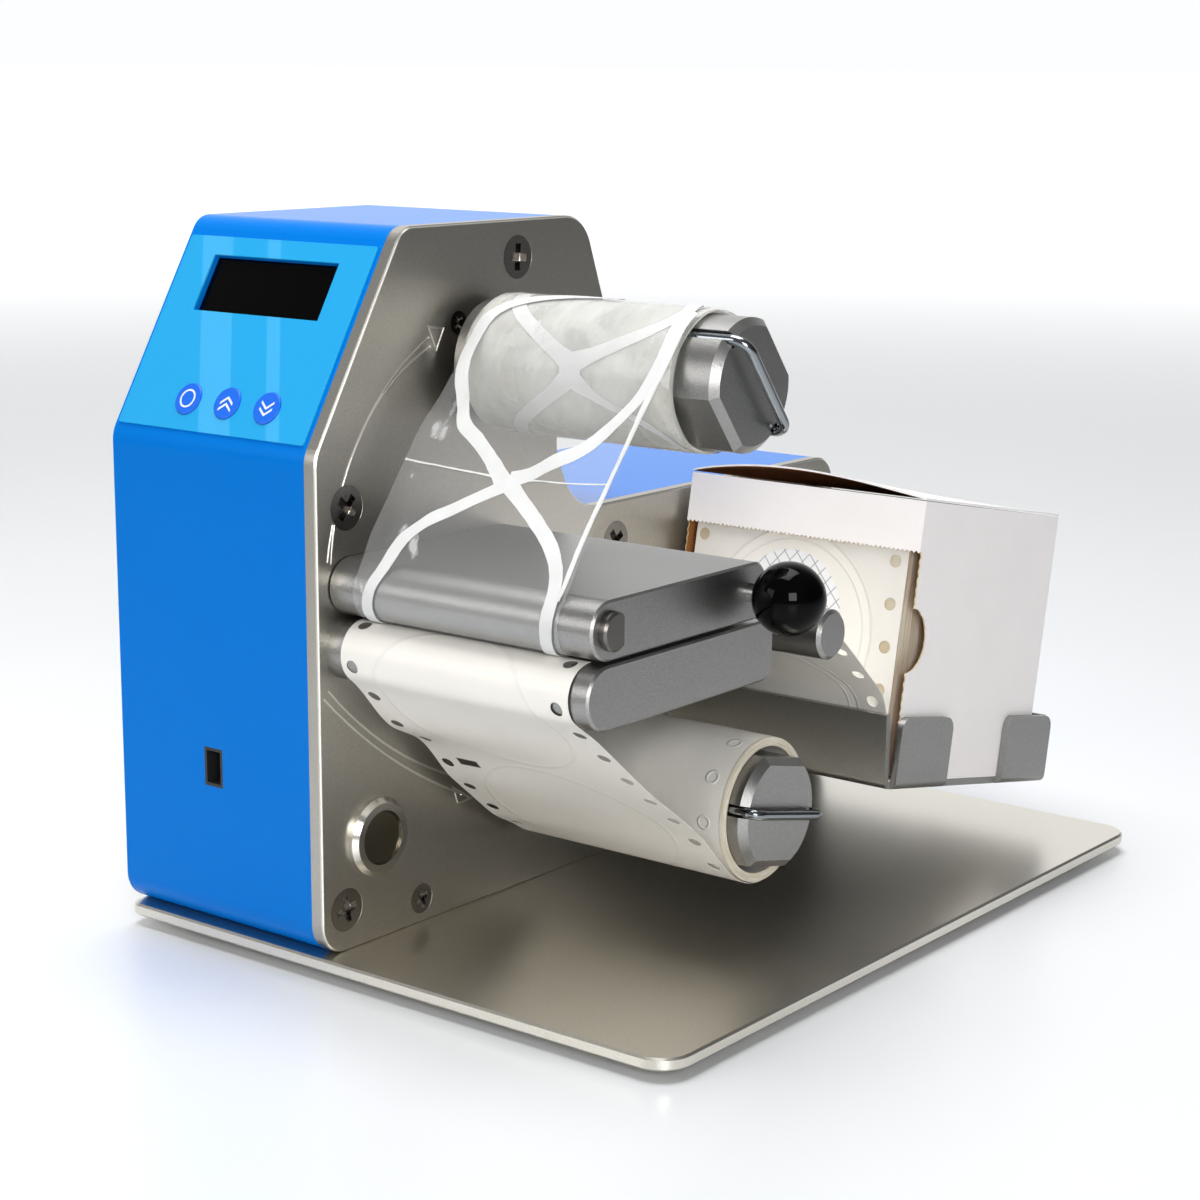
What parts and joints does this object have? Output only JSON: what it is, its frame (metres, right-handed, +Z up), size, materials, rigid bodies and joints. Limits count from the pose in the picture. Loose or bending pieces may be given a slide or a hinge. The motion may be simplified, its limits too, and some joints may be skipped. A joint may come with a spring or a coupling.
{
  "type": "label rewinder",
  "caption": "Desktop label stripping rewinder: blue motor housing, two spindles with rolls, hinged guide plates and a tilted tray with a carton of fan-fold labels.",
  "frame": {"origin": "bottom centre of the whole machine, on the surface it stands on", "axes": "+X along the spindles towards their free ends, +Y from the front to the back, +Z up"},
  "size_m": [0.193, 0.247, 0.2005],
  "materials": {
    "side_plate": "bead-blasted champagne anodised",
    "cover_paint": "satin blue powder coat",
    "satin_aluminium": "satin machined",
    "tray_metal": "bead-blasted",
    "bracket_metal": "machined",
    "screw_steel": "dark bright nickel",
    "button_steel": "spun brushed",
    "shaft_steel": "ground",
    "clip_wire": "bright dark wire",
    "rubber": "matt black",
    "membrane": "satin light blue film",
    "key_film": "satin deep blue film",
    "display_glass": "dark glossy",
    "black_plastic": "moulded black",
    "circuit_board": "green solder mask",
    "peg_plastic": "white nylon",
    "contact_brass": "plain",
    "motor_steel": "drawn steel",
    "film": "clear glossy film with a white waste lattice",
    "liner_paper": "glazed warm white liner",
    "carton_card": "coated white card",
    "knob_plastic": "gloss black"
  },
  "bodies": {
    "root": {"base_plate": "side_plate", "side_plate": "side_plate", "far_side_plate": "side_plate", "wrap_cover": "cover_paint", "lower_guide_plate": "satin_aluminium", "guide_rod": "satin_aluminium", "label_tray": "tray_metal", "base_brackets": "bracket_metal", "tie_bars": "bracket_metal", "base_screws": "screw_steel", "bracket_screws": "screw_steel", "side_plate_screws": "screw_steel", "far_plate_screws": "screw_steel", "upper_motor_screws": "screw_steel", "lower_motor_screws": "screw_steel", "guide_screws": "screw_steel", "tray_screws": "screw_steel", "push_button_body": "button_steel", "push_button_nut": "button_steel", "pivot_shaft": "shaft_steel", "rubber_feet": "rubber", "membrane_panel": "membrane", "display_glass": "display_glass", "display_module": "black_plastic", "front_socket": "black_plastic", "dc_inlet": "black_plastic", "key_board": "circuit_board", "control_board": "circuit_board", "panel_pegs": "peg_plastic", "board_standoffs": "peg_plastic", "socket_pins": "contact_brass", "dc_inlet_pin": "contact_brass", "upper_bushing": "contact_brass", "lower_bushing": "contact_brass", "upper_gearmotor": "motor_steel", "lower_gearmotor": "motor_steel", "film_web": "film", "liner_web": "liner_paper", "label_web": "liner_paper", "label_stack": "liner_paper", "carton": "carton_card"},
    "upper_spindle": {"upper_spindle": "satin_aluminium", "upper_shaft": "shaft_steel", "upper_set_screw": "screw_steel", "film_roll": "film"},
    "lower_spindle": {"lower_spindle": "satin_aluminium", "lower_shaft": "shaft_steel", "lower_set_screw": "screw_steel", "liner_roll": "liner_paper"},
    "upper_clip": {"upper_clip": "clip_wire"},
    "lower_clip": {"lower_clip": "clip_wire"},
    "upper_guide": {"upper_guide_plate": "satin_aluminium", "knob_stem": "shaft_steel", "ball_knob": "knob_plastic"},
    "push_button": {"push_button_plunger": "button_steel"},
    "key_start": {"key_start": "key_film"},
    "key_up": {"key_up": "key_film"},
    "key_down": {"key_down": "key_film"},
    "carton_lid": {"carton_lid": "carton_card"}
  },
  "joints": [
    {"name": "upper_spindle_turn", "type": "hinge", "parent": "root", "child": "upper_spindle", "pos_m": [-0.019, -0.0559, 0.1626], "axis": [1, 0, 0], "continuous": true},
    {"name": "lower_spindle_turn", "type": "hinge", "parent": "root", "child": "lower_spindle", "pos_m": [-0.019, -0.0364, 0.0441], "axis": [1, 0, 0], "continuous": true},
    {"name": "upper_clip_pull", "type": "slide", "parent": "upper_spindle", "child": "upper_clip", "axis": [1, 0, 0], "range_m": [0, 0.081]},
    {"name": "lower_clip_pull", "type": "slide", "parent": "lower_spindle", "child": "lower_clip", "axis": [1, 0, 0], "range_m": [0, 0.081]},
    {"name": "upper_guide_lift", "type": "hinge", "parent": "root", "child": "upper_guide", "pos_m": [-0.019, -0.1114, 0.10775], "axis": [1, 0, 0], "range_deg": [0, 22]},
    {"name": "push_button_press", "type": "slide", "parent": "root", "child": "push_button", "axis": [-1, 0, 0], "range_m": [0, 0.0015], "stiffness_N_per_m": 1500, "springref_m": -0.001},
    {"name": "key_start_press", "type": "slide", "parent": "root", "child": "key_start", "axis": [0, 0.86, -0.5103], "range_m": [0, 0.0004], "stiffness_N_per_m": 2500, "springref_m": -0.0004},
    {"name": "key_up_press", "type": "slide", "parent": "root", "child": "key_up", "axis": [0, 0.86, -0.5103], "range_m": [0, 0.0004], "stiffness_N_per_m": 2500, "springref_m": -0.0004},
    {"name": "key_down_press", "type": "slide", "parent": "root", "child": "key_down", "axis": [0, 0.86, -0.5103], "range_m": [0, 0.0004], "stiffness_N_per_m": 2500, "springref_m": -0.0004},
    {"name": "carton_lid_open", "type": "hinge", "parent": "root", "child": "carton_lid", "pos_m": [0.025, 0.12201, 0.10408], "axis": [-1, 0, 0], "range_deg": [0, 100]}
  ]
}
